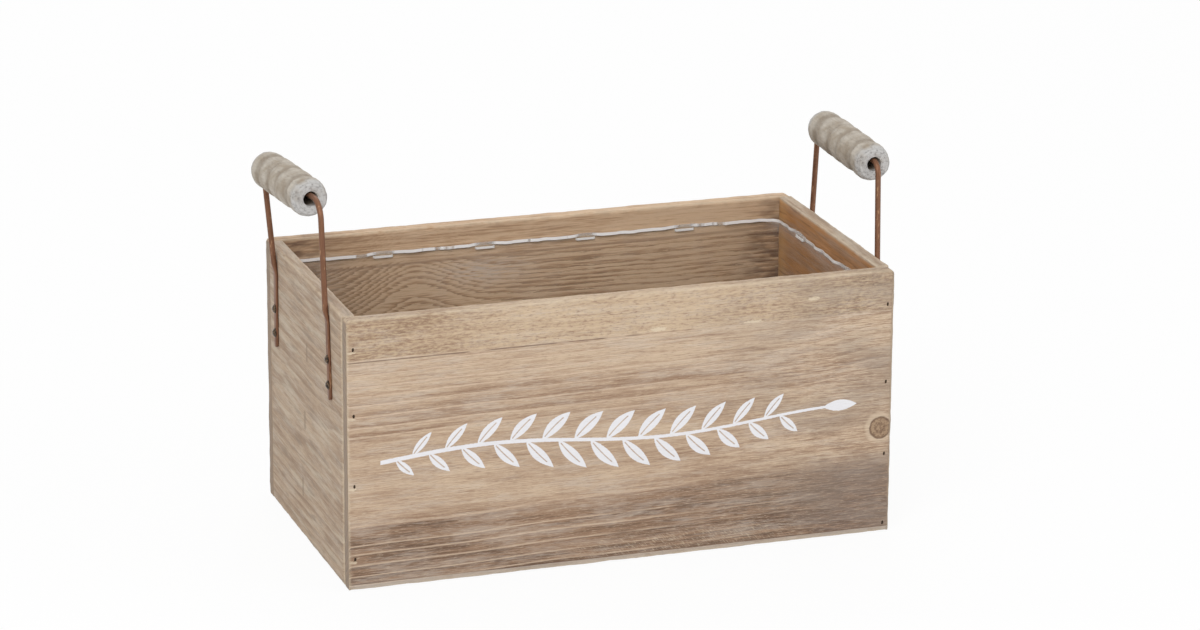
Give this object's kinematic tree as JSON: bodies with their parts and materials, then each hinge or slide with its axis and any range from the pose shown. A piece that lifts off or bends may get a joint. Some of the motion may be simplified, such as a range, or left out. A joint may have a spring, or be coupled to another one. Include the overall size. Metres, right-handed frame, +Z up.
{
  "type": "indoor herb planter",
  "caption": "Open-topped whitewashed wooden box with a clear film liner inside, and a wire bail with a turned wooden grip at each end.",
  "frame": {"origin": "on the ground under the middle of the box; the grips reach about 2 mm further out on the left than on the right", "axes": "+X along the box's length to the right, the front faces -Y, +Z up"},
  "size_m": [0.33, 0.16, 0.2065],
  "materials": {
    "board_wood": "brushed softwood with a thin greyish whitewash, matt",
    "grip_wood": "turned wood, whitewashed and rubbed back, matt",
    "bail_wire": "copper-brown coated steel wire, satin",
    "nail_metal": "dark bronzed domed nails, worn bright on the crown",
    "brad_steel": "dull dark steel, sunk in the wood",
    "staple_wire": "bright galvanised wire",
    "liner_film": "thin clear film, glossy and slightly wrinkled"
  },
  "bodies": {
    "box": {"front_board": "board_wood", "back_board": "board_wood", "left_end_board": "board_wood", "right_end_board": "board_wood", "bottom_board": "board_wood", "film_liner": "liner_film", "left_bail": "bail_wire", "right_bail": "bail_wire", "left_bail_nails": "nail_metal", "right_bail_nails": "nail_metal", "front_left_brads": "brad_steel", "front_right_brads": "brad_steel", "back_left_brads": "brad_steel", "back_right_brads": "brad_steel", "front_staples": "staple_wire", "back_staples": "staple_wire", "left_end_staples": "staple_wire", "right_end_staples": "staple_wire"},
    "left_grip": {"left_grip": "grip_wood"},
    "right_grip": {"right_grip": "grip_wood"}
  },
  "joints": [
    {"name": "left_grip_spin", "type": "hinge", "parent": "box", "child": "left_grip", "pos_m": [-0.1548, 0.00926, 0.19464], "axis": [-0.0491, 0.998, -0.0389], "continuous": true},
    {"name": "right_grip_spin", "type": "hinge", "parent": "box", "child": "right_grip", "pos_m": [0.1525, -0.00357, 0.19359], "axis": [0, 0.9997, 0.0254], "continuous": true}
  ]
}
